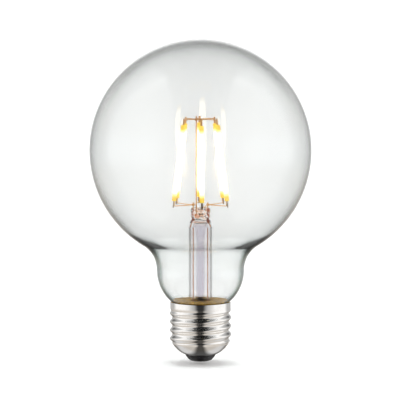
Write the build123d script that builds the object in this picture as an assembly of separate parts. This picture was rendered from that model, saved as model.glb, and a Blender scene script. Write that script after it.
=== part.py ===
"""Clear globe light bulb with a screw cap and six LED filaments. All sizes are in millimetres.

The bulb stands on its centre contact, at the origin, with +Z up through the cap and the globe, and the front
of the glass stem faces -Y. It is built from the cap upwards: each piece takes its seat from the one below it.
"""

import math
import os

from build123d import *

# Screw cap: sheet metal with a rolled E27 thread, a plain skirt above it and a bowl below it
thread_crest_radius = 13.2
thread_depth = 1.1
thread_pitch = 3.62
thread_fade_in = 1.1
thread_fade_out = 1.8
thread_crest_z = 0.75
sections_per_turn = 8
cap_height = 25.6
skirt_radius = 12.95
skirt_height = 2.8
shell_thickness = 0.3
bowl_radius = 11.6
bowl_seat_slope = 23.0
bowl_bend_radius = 1.2

# Black insulator and nail-shaped centre contact under the bowl
insulator_seat_radius = 6.7
insulator_seat_z = 2.95
insulator_plug_radius = 8.6
insulator_top_z = 4.9
insulator_lip_z = 0.45
insulator_lip_width = 0.45
contact_radius = 4.2
contact_flat_radius = 3.2
contact_edge = 0.35
contact_thickness = 0.7
nail_radius = 1.1
nail_height = 5.2

# Globe, shoulder and neck of the blown glass envelope
globe_radius = 47.5
glass_wall = 0.9
shoulder_radius = 13.0
neck_radius = 18.65
neck_curve_radius = 17.9
neck_seat_drop = 0.2
neck_end_lift = 0.5

# Glass stem: a tube that flares out to the neck, pinched flat at its top around the wires
stem_tube_radius = 5.0
stem_wall = 0.9
flare_lift = 0.7
flare_thickness = 0.9
flare_fillet = 1.4
stem_height = 31.4
press_shoulder = 2.0
press_height = 5.6
press_width = 8.2
press_depth = 3.4
press_corner = 1.2
press_edge = 0.7
exhaust_hole_radius = 0.8
exhaust_hole_height = 2.0
exhaust_tube_radius = 1.7
exhaust_tube_wall = 0.6
exhaust_tube_drop = 8.6
exhaust_tip_length = 2.0
exhaust_tube_end_gap = 0.3

# Wires: two leads through the press, the support wire, and the arms that hold the filaments
lead_radius = 0.25
lead_offset = 3.1
lead_solder_length = 3.0
inner_lead_height = 2.2
seal_margin = 0.7
support_radius = 0.25
support_offset = -1.8
support_depth = 3.5
support_nub = 1.0
arm_radius = 0.2
hub_radius = 0.65
hub_height = 0.9
hub_lift = 0.7

# LED filaments, named by their angle from the front, anticlockwise seen from above
filament_angles = (3.0, 68.0, 128.0, 183.0, 236.0, 292.0)
filament_length = 32.8
filament_radius = 1.0
filament_end = 0.4
filament_foot_radius = 12.2
filament_head_radius = 7.9
tab_length = 2.8
tab_width = 0.9
tab_thickness = 0.25
hook_length = 1.9
arm_height_on_tab = 0.7

# Driver inside the cap: an insulating sleeve with slots for an upright circuit board
sleeve_wall = 0.8
sleeve_radial_gap = 0.25
sleeve_lift = 0.1
sleeve_top_gap = 0.3
rib_length = 1.5
rib_thickness = 1.0
board_lift = 1.0
board_top_gap = 0.5
board_thickness = 1.0
board_corner = 0.6
cement_layer = 0.46
cement_thickness = 1.15
cement_bore_radius = 4.3
package_x = 5.9
package_rise = 2.9
package_lift = 0.1
rectifier_size = (4.7, 1.5, 3.0)
rectifier_pins = 2
chip_size = (4.4, 1.3, 3.4)
chip_pins = 4
pin_width = 0.42
pin_thickness = 0.2
pin_reach = 0.8
pin_pitch = 1.2
capacitor_radius = 3.15
capacitor_length = 8.0
capacitor_gap = 0.3
capacitor_groove = 0.3
groove_height = 1.3
capacitor_edge = 0.4
leg_radius = 0.22
leg_pitch = 2.5
leg_stub = 0.6
fuse_radius = 1.15
fuse_length = 2.7
fuse_lift = 0.8
fuse_edge = 0.5
fuse_lap = 1.6
shell_wire_radius = 0.2
shell_wire_x = 8.5
shell_wire_lap = 3.0
shell_wire_drop = 5.0
notch_depth = 1.3

# Clearances between pieces that are glued, fused, welded or pushed together
glue_gap = 0.05
wire_gap = 0.03
slot_gap = 0.1

# Levels and radii that follow from the sizes above
thread_top_z = cap_height - skirt_height
thread_mean_radius = thread_crest_radius - thread_depth / 2
thread_root_radius = thread_crest_radius - thread_depth
thread_bore_radius = thread_root_radius - shell_thickness
bowl_x = insulator_seat_radius - bowl_radius * math.sin(math.radians(bowl_seat_slope))
bowl_z = insulator_seat_z + bowl_radius * math.cos(math.radians(bowl_seat_slope))
bend_x = thread_root_radius - bowl_bend_radius
bend_slope = math.degrees(math.asin((bend_x - bowl_x) / (bowl_radius - bowl_bend_radius)))
thread_bottom_z = bowl_z - (bowl_radius - bowl_bend_radius) * math.cos(math.radians(bend_slope))
skirt_bore_radius = skirt_radius - shell_thickness
neck_seat_radius = skirt_bore_radius - cement_layer
neck_seat_z = cap_height - neck_seat_drop
neck_curve_x = neck_radius - neck_curve_radius
neck_z = neck_seat_z + math.sqrt(neck_curve_radius**2 - (neck_seat_radius - neck_curve_x) ** 2)
neck_end_z = thread_top_z + neck_end_lift
shoulder_x = neck_radius + shoulder_radius
globe_z = neck_z + math.sqrt((globe_radius + shoulder_radius) ** 2 - shoulder_x**2)
flare_z = cap_height + flare_lift
press_base_z = flare_z + flare_thickness + stem_height
press_z = press_base_z + press_shoulder
press_top_z = press_z + press_height
lead_top_z = press_top_z + inner_lead_height
lower_arm_z = press_top_z + hub_lift + hub_height / 2
filament_foot_z = lower_arm_z - arm_height_on_tab + tab_length
filament_lean = math.asin((filament_foot_radius - filament_head_radius) / filament_length)
filament_rise = filament_length * math.cos(filament_lean)
filament_head_z = filament_foot_z + filament_rise
upper_arm_z = filament_head_z + tab_length - arm_height_on_tab
support_top_z = upper_arm_z + hub_height / 2 + support_nub
sleeve_radius = thread_bore_radius - sleeve_radial_gap
sleeve_bore_radius = sleeve_radius - sleeve_wall
sleeve_bottom_z = thread_bottom_z + sleeve_lift
board_bottom_z = sleeve_bottom_z + board_lift
cement_bottom_z = thread_top_z - cement_thickness
sleeve_top_z = cement_bottom_z - sleeve_top_gap
exhaust_tip_z = flare_z - exhaust_tube_drop
board_top_z = exhaust_tip_z - board_top_gap
board_front_y = lead_radius + glue_gap
board_back_y = board_front_y + board_thickness
board_half_width = math.sqrt((sleeve_bore_radius - slot_gap) ** 2 - board_back_y**2)
rib_x = board_half_width - rib_length
shell_wire_outer_x = thread_bore_radius - glue_gap - shell_wire_radius
shell_wire_top_z = sleeve_top_z - notch_depth / 2
fuse_bottom_z = nail_height + fuse_lift
package_z = board_bottom_z + package_rise
capacitor_z = (board_bottom_z + board_top_z) / 2


def turned(outline):
    """A solid of revolution about Z from a closed outline of (radius, height) points."""
    return revolve(Plane.XZ * make_face(Polyline(*outline, close=True)), Axis.Z)


def rod(radius, bottom_z, top_z, x=0.0, y=0.0):
    """A round upright bar between two heights."""
    return Pos(x, y, (bottom_z + top_z) / 2) * Cylinder(radius, top_z - bottom_z)


def block(low, high):
    """A box between its lowest and highest corners."""
    size = [b - a for a, b in zip(low, high)]
    middle = [(a + b) / 2 for a, b in zip(low, high)]
    return Pos(*middle) * Box(*size)


def bent_wire(points, radius):
    """A round wire along straight runs, mitred at its bends."""
    path = Polyline(*points)
    start = Plane(origin=path @ 0, z_dir=path % 0)
    return sweep(start * Circle(radius), path=path, transition=Transition.RIGHT)


def barrel(radius, length, edge):
    """A round bar from the origin up Z, with a bevel round each end."""
    foot = [(0, 0), (radius - edge, 0), (radius, edge)]
    head = [(radius, length - edge), (radius - edge, length), (0, length)]
    return turned(foot + head)


def fade(distance, length):
    """0 at no distance and 1 from length on, with a smooth S between."""
    share = min(1.0, max(0.0, distance / length))
    return share * share * (3 - 2 * share)


def bowl_curve(inset, first_slope, last_slope):
    """The cap's bowl in section, between two slopes from level, inset from the outer surface."""
    return CenterArc((bowl_x, bowl_z), bowl_radius - inset, first_slope - 90, last_slope - first_slope)


def bend_curve(inset):
    """The bend from the bowl up to the thread, in section, inset from the outer surface."""
    return CenterArc((bend_x, thread_bottom_z), bowl_bend_radius - inset, bend_slope - 90, 90 - bend_slope)


def threaded_skin(inset):
    """The rolled thread as a body: one circle carried up the axis, off centre by half the thread's depth.

    Its centre goes once round the axis for each pitch, which makes a rounded right-hand thread. It runs out
    into the bowl's bend below and into the skirt's radius above. Straight walls join the circles.
    """
    steps = math.ceil((thread_top_z - thread_bottom_z) / thread_pitch * sections_per_turn)
    sections = []
    for i in range(steps + 1):
        z = thread_bottom_z + (thread_top_z - thread_bottom_z) * i / steps
        below = fade(z - thread_bottom_z, thread_fade_in)
        above = fade(thread_top_z - z, thread_fade_out)
        radius = thread_mean_radius - (1 - below) * (thread_mean_radius - thread_root_radius)
        radius += (1 - above) * (skirt_radius - thread_mean_radius)
        off_centre = thread_depth / 2 * below * above
        turn = 2 * math.pi * (z - thread_crest_z) / thread_pitch
        centre = (off_centre * math.cos(turn), off_centre * math.sin(turn), z)
        sections.append(Plane(origin=centre) * Circle(radius - inset))
    return loft(sections, ruled=True)


def cap_shell():
    """The nickel-plated shell: bowl, thread and skirt rolled from one sheet, open at both ends."""
    outer, outer_bend = bowl_curve(0, bowl_seat_slope, bend_slope), bend_curve(0)
    inner, inner_bend = bowl_curve(shell_thickness, bowl_seat_slope, bend_slope), bend_curve(shell_thickness)
    top = Line(outer_bend @ 1, inner_bend @ 1)
    mouth = Line(inner @ 0, outer @ 0)
    bowl = revolve(Plane.XZ * make_face([outer, outer_bend, top, inner_bend, inner, mouth]), Axis.Z)
    thread = threaded_skin(0) - threaded_skin(shell_thickness)
    skirt = rod(skirt_radius, thread_top_z, cap_height) - rod(skirt_bore_radius, thread_top_z, cap_height)
    return bowl + thread + skirt


def cap_insulator():
    """The black moulded insulator, which closes the bowl and holds the contact inside its lip."""
    bore = nail_radius + glue_gap
    recess = contact_radius + glue_gap
    recess_z = contact_thickness + glue_gap
    inner = shell_thickness + glue_gap
    seat_slope = bowl_seat_slope - math.degrees(glue_gap / bowl_radius)
    plug_slope = math.degrees(math.asin((insulator_plug_radius - bowl_x) / (bowl_radius - inner)))
    plug = bowl_curve(inner, seat_slope, plug_slope)
    outline = Polyline(
        plug @ 1,
        (insulator_plug_radius, insulator_top_z),
        (bore, insulator_top_z),
        (bore, recess_z),
        (recess, recess_z),
        (recess, insulator_lip_z),
        (recess + insulator_lip_width, insulator_lip_z),
        bowl_curve(0, seat_slope, plug_slope) @ 0,
        plug @ 0,
    )
    return revolve(Plane.XZ * make_face([plug, *outline.edges()]), Axis.Z)


def centre_contact():
    """The contact that the bulb seats on: a wide flat head with a turned-up edge, on a nail."""
    outline = [
        (0, 0),
        (contact_flat_radius, 0),
        (contact_radius, contact_edge),
        (contact_radius, contact_thickness),
        (nail_radius, contact_thickness),
        (nail_radius, nail_height),
        (0, nail_height),
    ]
    return turned(outline)


def glass_body(inset, bottom_z):
    """The globe, shoulder and neck as a body, inset from the outer surface, down to a level."""
    lean = math.degrees(math.atan2(neck_z - globe_z, shoulder_x))
    seat = neck_seat_radius - inset
    neck_turn = math.degrees(math.acos((seat - neck_curve_x) / (neck_curve_radius - inset)))
    globe = CenterArc((0, globe_z), globe_radius - inset, lean, 90 - lean)
    shoulder = CenterArc((shoulder_x, neck_z), shoulder_radius + inset, 180, lean)
    neck = CenterArc((neck_curve_x, neck_z), neck_curve_radius - inset, 0, -neck_turn)
    closing = Polyline(neck @ 1, (seat, bottom_z), (0, bottom_z), globe @ 1)
    return revolve(Plane.XZ * make_face([globe, shoulder, neck, *closing.edges()]), Axis.Z)


def glass_envelope():
    """The blown glass, open below, where it stands in the cap's skirt."""
    return glass_body(0, neck_end_z) - glass_body(glass_wall, neck_end_z)


def stem_glass(wire_places):
    """The stem: flare, tube and press in one piece of glass, with the wires' holes and the exhaust hole."""
    flare_top_z = flare_z + flare_thickness
    bore_radius = stem_tube_radius - stem_wall
    flare = rod(globe_radius, flare_z, flare_top_z) & glass_body(glass_wall + glue_gap, neck_end_z)
    tube = rod(stem_tube_radius, flare_z, press_base_z)
    outer = flare + tube
    root = outer.edges().filter_by(GeomType.CIRCLE).filter_by_position(
        Axis.Z, flare_top_z - glue_gap, flare_top_z + glue_gap
    )
    outer = fillet(root.sort_by(SortBy.RADIUS)[0], flare_fillet)
    flat = Plane(origin=(0, 0, press_z)) * RectangleRounded(press_width, press_depth, press_corner)
    shoulder = loft([Plane(origin=(0, 0, press_base_z)) * Circle(stem_tube_radius), flat])
    press = extrude(flat, press_height)
    press = chamfer(press.faces().sort_by(Axis.Z)[-1].edges(), press_edge)
    stem = outer + shoulder + press
    stem -= rod(bore_radius, flare_z, press_base_z)
    mouth = stem.edges().filter_by(GeomType.CIRCLE).filter_by_position(
        Axis.Z, flare_z - glue_gap, flare_z + glue_gap
    )
    stem = fillet(mouth.sort_by(SortBy.RADIUS)[0], flare_fillet)
    stem -= rod(exhaust_hole_radius, press_base_z, press_z + exhaust_hole_height)
    hole_z = press_z + exhaust_hole_height
    stem -= Pos(0, 0, hole_z) * Rot(90, 0, 0) * Cylinder(exhaust_hole_radius, 2 * stem_tube_radius)
    for x, radius, bottom_z in wire_places:
        stem -= rod(radius + wire_gap, bottom_z, press_top_z, x)
    return stem


def exhaust_tube():
    """The thin tube that the gas went in by: open below the press, and melted shut in the cap."""
    tip_z = exhaust_tip_z
    top_z = press_base_z - exhaust_tube_end_gap
    bore = exhaust_tube_radius - exhaust_tube_wall
    outline = [
        (0, tip_z),
        (exhaust_tube_wall, tip_z),
        (exhaust_tube_radius, tip_z + exhaust_tip_length),
        (exhaust_tube_radius, top_z),
        (bore, top_z),
        (bore, tip_z + exhaust_tip_length),
        (0, tip_z + exhaust_tube_wall),
    ]
    return turned(outline)


def lead_wires(side):
    """One lead in its three welded lengths: copper in the cap and tube, a seal in the press, nickel above."""
    x = side * lead_offset
    seal_bottom_z = press_base_z + seal_margin
    seal_top_z = press_top_z - seal_margin
    return {
        "outer_lead": rod(lead_radius, board_top_z - lead_solder_length, seal_bottom_z, x),
        "seal_wire": rod(lead_radius, seal_bottom_z, seal_top_z, x),
        "inner_lead": rod(lead_radius, seal_top_z, lead_top_z, x),
    }


def filament_place(angle):
    """The frame of one filament: its origin at the foot, Z up along it, X outwards from the axis."""
    around = math.radians(angle)
    out = Vector(math.sin(around), -math.cos(around), 0)
    foot = out * filament_foot_radius + Vector(0, 0, filament_foot_z)
    along = out * -math.sin(filament_lean) + Vector(0, 0, math.cos(filament_lean))
    outwards = out * math.cos(filament_lean) + Vector(0, 0, math.sin(filament_lean))
    return Plane(origin=foot, x_dir=outwards, z_dir=along)


def filament(place):
    """The strip of LEDs in its round phosphor coating."""
    return place * barrel(filament_radius, filament_length, filament_end)


def filament_tab(place, at_head):
    """The flat metal end of a filament, outside its coating."""
    start = filament_length if at_head else -tab_length
    half_width = tab_width / 2
    half_thickness = tab_thickness / 2
    tab = block((-half_thickness, -half_width, start), (half_thickness, half_width, start + tab_length))
    return place * tab


def hook_points(place, at_head, arm_z):
    """Where an arm turns on to a tab, and where its hook ends, on the tab's inner side."""
    inside = -(tab_thickness / 2 + arm_radius + wire_gap)
    lean = Vector(*place.z_dir)
    turn = Vector(*place.from_local_coords((inside, 0, 0)))
    turn = turn + lean * ((arm_z - turn.Z) / lean.Z)
    return turn, turn + lean * (-hook_length if at_head else hook_length)


def spider(hub_x, wire_radius, arm_z, places, at_head):
    """A crimped hub on an upright wire, with one arm and hook for each filament that it holds."""
    hub = rod(hub_radius, arm_z - hub_height / 2, arm_z + hub_height / 2, hub_x)
    held = hub
    for place in places:
        turn, tip = hook_points(place, at_head, arm_z)
        held += bent_wire([(hub_x, 0, arm_z), turn, tip], arm_radius)
    return held - rod(wire_radius + wire_gap, arm_z - hub_height, arm_z + hub_height, hub_x)


def cap_cement():
    """The golden cement that fills the neck below the flare and glues the glass into the cap."""
    ring = rod(skirt_bore_radius - glue_gap, thread_top_z + glue_gap, neck_seat_z)
    ring -= glass_body(-glue_gap, neck_end_z - glue_gap)
    plug = glass_body(glass_wall + glue_gap, neck_end_z - glue_gap)
    plug &= rod(globe_radius, neck_end_z - glue_gap, flare_z - glue_gap)
    base = rod(thread_bore_radius - glue_gap, cement_bottom_z, thread_top_z + glue_gap)
    bridge = rod(skirt_bore_radius - glue_gap, thread_top_z + glue_gap, neck_end_z - glue_gap)
    return (ring + plug + base + bridge) - rod(cement_bore_radius, cement_bottom_z, flare_z)


def driver_sleeve():
    """The plastic liner of the cap: ribs hold the board's edges, and a groove lets the shell's wire past."""
    sleeve = rod(sleeve_radius, sleeve_bottom_z, sleeve_top_z)
    sleeve -= rod(sleeve_bore_radius, sleeve_bottom_z, sleeve_top_z)
    for low_y in (board_front_y - slot_gap - rib_thickness, board_back_y + slot_gap):
        high_y = low_y + rib_thickness
        ribs = block((-sleeve_radius, low_y, sleeve_bottom_z), (sleeve_radius, high_y, board_top_z))
        ribs -= block((-rib_x, low_y, sleeve_bottom_z), (rib_x, high_y, board_top_z))
        sleeve += ribs & rod(sleeve_radius, sleeve_bottom_z, board_top_z)
    half_width = shell_wire_radius + slot_gap
    groove_x = shell_wire_outer_x - half_width
    sleeve -= block((groove_x, -half_width, sleeve_bottom_z), (skirt_radius, half_width, sleeve_top_z))
    notch_z = sleeve_top_z - notch_depth
    return sleeve - block((rib_x, -half_width, notch_z), (skirt_radius, half_width, sleeve_top_z))


def capacitor_legs(radius):
    """The capacitor's two legs as bars from its base to the front of the board."""
    length = capacitor_gap + board_thickness + leg_stub
    middle_y = board_back_y + capacitor_gap - length / 2
    leg = Rot(90, 0, 0) * Cylinder(radius, length)
    return [Pos(side * leg_pitch / 2, middle_y, capacitor_z) * leg for side in (-1, 1)]


def driver_board():
    """The upright circuit board, drilled for the capacitor's legs."""
    outline = RectangleRounded(2 * board_half_width, board_top_z - board_bottom_z, board_corner)
    middle = (0, board_back_y, (board_bottom_z + board_top_z) / 2)
    board = extrude(Plane(origin=middle, x_dir=(1, 0, 0), z_dir=(0, -1, 0)) * outline, board_thickness)
    for hole in capacitor_legs(leg_radius + wire_gap):
        board -= hole
    return board


def smoothing_capacitor():
    """The can that lies behind the board, with a rolled groove near its base and legs through the board."""
    edge = capacitor_edge
    groove = capacitor_groove
    outline = [
        (0, 0),
        (capacitor_radius - edge, 0),
        (capacitor_radius, edge),
        (capacitor_radius, groove_height - groove),
        (capacitor_radius - groove, groove_height),
        (capacitor_radius, groove_height + groove),
        (capacitor_radius, capacitor_length - edge),
        (capacitor_radius - edge, capacitor_length),
        (0, capacitor_length),
    ]
    can = Pos(0, board_back_y + capacitor_gap, capacitor_z) * Rot(-90, 0, 0) * turned(outline)
    for leg in capacitor_legs(leg_radius):
        can += leg
    return can


def chip_package(size, pins_per_side, x):
    """A moulded package on the front of the board, with bent pins along its top and bottom."""
    width, depth, height = size
    back_y = board_front_y - package_lift
    foot_y = board_front_y - glue_gap
    package = block(
        (x - width / 2, back_y - depth, package_z - height / 2),
        (x + width / 2, back_y, package_z + height / 2),
    )
    for i in range(pins_per_side):
        pin_x = x + (i - (pins_per_side - 1) / 2) * pin_pitch * chip_pins / pins_per_side
        left, right = pin_x - pin_width / 2, pin_x + pin_width / 2
        for side in (-1, 1):
            root_z = package_z + side * height / 2
            elbow_z = root_z + side * pin_reach / 2
            tip_z = root_z + side * pin_reach
            middle_y = back_y - depth / 2
            runs = [
                ((middle_y, root_z - side * pin_thickness), (middle_y + pin_thickness, elbow_z)),
                ((middle_y, elbow_z - side * pin_thickness), (foot_y, elbow_z)),
                ((foot_y - pin_thickness, elbow_z - side * pin_thickness), (foot_y, tip_z)),
            ]
            for (low_y, start_z), (high_y, end_z) in runs:
                package += block((left, low_y, min(start_z, end_z)), (right, high_y, max(start_z, end_z)))
    return package


def fuse_resistor():
    """The small barrel between the nail of the centre contact and the board."""
    return Pos(0, 0, fuse_bottom_z) * barrel(fuse_radius, fuse_length, fuse_edge)


def shell_wire():
    """The wire from the board over the sleeve's edge, pinched between the sleeve and the cap's shell."""
    points = [
        (shell_wire_x, 0, board_top_z - shell_wire_lap),
        (shell_wire_x, 0, shell_wire_top_z),
        (shell_wire_outer_x, 0, shell_wire_top_z),
        (shell_wire_outer_x, 0, shell_wire_top_z - shell_wire_drop),
    ]
    return bent_wire(points, shell_wire_radius)


# Cap and driver
pieces = {
    "cap_shell": cap_shell(),
    "cap_insulator": cap_insulator(),
    "centre_contact": centre_contact(),
    "cap_cement": cap_cement(),
    "driver_sleeve": driver_sleeve(),
    "driver_board": driver_board(),
    "smoothing_capacitor": smoothing_capacitor(),
    "bridge_rectifier": chip_package(rectifier_size, rectifier_pins, -package_x),
    "driver_chip": chip_package(chip_size, chip_pins, package_x),
    "fuse_resistor": fuse_resistor(),
    "contact_wire": rod(lead_radius, nail_height, fuse_bottom_z),
    "fuse_lead": rod(lead_radius, fuse_bottom_z + fuse_length, board_bottom_z + fuse_lap),
    "shell_wire": shell_wire(),
}

# Glass
support_bottom_z = press_top_z - support_depth
wire_places = [(side * lead_offset, lead_radius, press_base_z) for side in (-1, 1)]
wire_places.append((support_offset, support_radius, support_bottom_z))
pieces["glass_envelope"] = glass_envelope()
pieces["stem_glass"] = stem_glass(wire_places)
pieces["exhaust_tube"] = exhaust_tube()

# Leads and support wire
for side_name, side in (("left", -1), ("right", 1)):
    for name, wire in lead_wires(side).items():
        pieces[f"{side_name}_{name}"] = wire
pieces["support_wire"] = rod(support_radius, support_bottom_z, support_top_z, support_offset)

# Filaments and the arms that hold them
places = [filament_place(angle) for angle in filament_angles]
for number, place in enumerate(places, start=1):
    pieces[f"filament_{number}"] = filament(place)
    pieces[f"filament_{number}_bottom_tab"] = filament_tab(place, at_head=False)
    pieces[f"filament_{number}_top_tab"] = filament_tab(place, at_head=True)
pieces["top_spider"] = spider(support_offset, support_radius, upper_arm_z, places, at_head=True)
pieces["right_bracket"] = spider(lead_offset, lead_radius, lower_arm_z, places[:3], at_head=False)
pieces["left_bracket"] = spider(-lead_offset, lead_radius, lower_arm_z, places[3:], at_head=False)

os.makedirs("parts", exist_ok=True)
for name, piece in pieces.items():
    export_step(piece, f"parts/{name}.step")
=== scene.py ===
# %% [markdown]
# # A clear globe bulb with LED filaments
# The bulb was measured and built as solids first. This script dresses those solids. It loads them as a fixed
# frame, gives each piece its finish, builds finer meshes where light bends through glass or glides over a
# thread, and sets up a small studio. Everything is in metres, with +Z up the bulb's axis and the front
# towards -Y.

# %% Load the frame
import math

import bpy
import numpy as np
from mathutils import Matrix, Vector


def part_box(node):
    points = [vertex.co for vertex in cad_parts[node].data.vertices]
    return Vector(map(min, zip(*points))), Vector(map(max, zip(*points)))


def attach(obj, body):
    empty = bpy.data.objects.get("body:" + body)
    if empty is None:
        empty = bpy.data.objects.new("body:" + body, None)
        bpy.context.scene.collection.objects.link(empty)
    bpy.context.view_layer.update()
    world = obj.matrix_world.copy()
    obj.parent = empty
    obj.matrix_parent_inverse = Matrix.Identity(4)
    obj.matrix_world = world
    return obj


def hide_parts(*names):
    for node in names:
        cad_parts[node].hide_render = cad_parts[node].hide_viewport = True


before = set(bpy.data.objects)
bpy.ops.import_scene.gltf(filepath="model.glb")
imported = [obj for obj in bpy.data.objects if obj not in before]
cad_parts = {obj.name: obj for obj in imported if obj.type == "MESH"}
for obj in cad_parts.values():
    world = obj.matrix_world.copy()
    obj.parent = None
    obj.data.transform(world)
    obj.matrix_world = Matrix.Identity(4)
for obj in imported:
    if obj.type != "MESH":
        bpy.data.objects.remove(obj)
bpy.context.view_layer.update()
scene = bpy.context.scene
mm = 0.001

# %% [markdown]
# ## Sizes that the dressed pieces share with the solids
# Each finer mesh takes its seat from a solid's box, so it lands where the solid is. Only curvature that a box
# can't tell, such as the radius of the shoulder, is written here again, in millimetres.

# %% Sizes
def box_mm(node):
    """Lowest and highest corner of a solid, in millimetres."""
    low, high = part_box(node)
    return Vector(low) / mm, Vector(high) / mm


glass_low, glass_high = box_mm("glass_envelope")
shell_low, shell_high = box_mm("cap_shell")
stem_low, stem_high = box_mm("stem_glass")
globe_radius = 47.5
glass_wall = 0.9
shoulder_radius = 13.0
neck_radius = 18.65
neck_curve_radius = 17.9
neck_seat_radius = 12.19
neck_curve_x = neck_radius - neck_curve_radius
globe_z = glass_high.z - globe_radius
shoulder_x = neck_radius + shoulder_radius
neck_z = globe_z - math.sqrt((globe_radius + shoulder_radius) ** 2 - shoulder_x**2)
print("globe centre", round(globe_z, 2), "neck", round(neck_z, 2), "cap height", round(shell_high.z, 2))

# %% [markdown]
# ## Turning rings into a mesh
# Blown glass, a drawn cap and a moulded insulator are all bodies of revolution. Their meshes are stacks of
# rings, with plain quads between one ring and the next, which shade evenly. A profile of (radius, height)
# points gives a circle for each point. A point on the axis gives a ring of one vertex, which closes the end.

# %% Mesh helpers
crease_angle = math.radians(40.0)


def new_piece(name, vertices, faces, material):
    """A smooth-shaded mesh object from vertices in millimetres, with creases kept sharp."""
    mesh = bpy.data.meshes.new(name)
    mesh.from_pydata([tuple(float(c) * mm for c in v) for v in vertices], [], faces)
    mesh.validate()
    mesh.update()
    mesh.shade_smooth()
    mesh.set_sharp_from_angle(angle=crease_angle)
    mesh.materials.append(material)
    piece = bpy.data.objects.new(name, mesh)
    scene.collection.objects.link(piece)
    return piece


def skin_rings(name, rings, material, loop=False):
    """Quads over a stack of rings. A loop joins the last ring to the first."""
    around = max(len(ring) for ring in rings)
    vertices, rows, faces = [], [], []
    for ring in rings:
        first = len(vertices)
        vertices.extend(ring)
        rows.append([first] * around if len(ring) == 1 else list(range(first, first + around)))
    for low, high in list(zip(rows, rows[1:])) + ([(rows[-1], rows[0])] if loop else []):
        for j in range(around):
            k = (j + 1) % around
            corner = [low[j], low[k], high[k], high[j]]
            face = [v for n, v in enumerate(corner) if v not in corner[:n]]
            if len(face) > 2:
                faces.append(face)
    return new_piece(name, vertices, faces, material)


def circle(radius, z, around):
    """A level ring round the axis."""
    turns = [2 * math.pi * j / around for j in range(around)]
    return [(radius * math.cos(turn), radius * math.sin(turn), z) for turn in turns]


def turn_profile(name, profile, around, material, loop=False):
    """Turns (radius, height) points round the axis."""
    rings = [circle(radius, z, around) if radius > 1e-6 else [(0.0, 0.0, z)] for radius, z in profile]
    return skin_rings(name, rings, material, loop)


print("points of a circle in 12 steps:", len(circle(1.0, 0.0, 12)))

# %% [markdown]
# Two more helpers draw profiles. One gives the points of an arc, and the other is a smooth step from 0 to 1,
# which fades one shape into another without a corner.

# %% Profile helpers
def arc(cx, cz, radius, start, end, steps):
    """Points on an arc in the profile plane, from one angle to another, in degrees."""
    angles = np.radians(np.linspace(start, end, steps + 1))
    return [(cx + radius * math.cos(a), cz + radius * math.sin(a)) for a in angles]


def ease(low, high, value):
    """0 below low and 1 above high, with a smooth S between."""
    share = min(1.0, max(0.0, (value - low) / (high - low)))
    return share * share * (3 - 2 * share)


print("ease from 0 to 10 at 2.5:", round(ease(0, 10, 2.5), 3))

# %% [markdown]
# ## Shader maths as plain expressions
# A material is a small program. Written as Python expressions it stays readable. This class wraps an output
# socket, and each operator that is used on it adds a Math node.

# %% Wrapped socket
class Wire:
    """An output socket that can be added, multiplied and so on, each by a Math node of its own."""

    def __init__(self, tree, socket):
        self.tree, self.socket = tree, socket

    def maths(self, operation, *others):
        return self.tree.node("Math", {"operation": operation}, dict(enumerate((self, *others))))

    def __add__(self, other): return self.maths("ADD", other)
    def __radd__(self, other): return self.maths("ADD", other)
    def __sub__(self, other): return self.maths("SUBTRACT", other)
    def __mul__(self, other): return self.maths("MULTIPLY", other)
    def __rmul__(self, other): return self.maths("MULTIPLY", other)
    def __truediv__(self, other): return self.maths("DIVIDE", other)
    def __pow__(self, other): return self.maths("POWER", other)

    def __rsub__(self, other):
        return self.tree.node("Math", {"operation": "SUBTRACT"}, {0: other, 1: self})

    def between(self, low, high):
        """0 below low and 1 above high, smoothly."""
        settings = {"interpolation_type": "SMOOTHSTEP"}
        return self.tree.node("MapRange", settings, {"Value": self, "From Min": low, "From Max": high})


print("operators of a wrapped socket: + - * / ** and between")

# %% [markdown]
# The second class holds the node tree of a material or of the world. One method makes every node: it takes
# the node's type, then its settings, then the values or links of its sockets. The other methods are short
# names for what nearly every material needs, such as noise that is measured in features to the millimetre.

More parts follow.
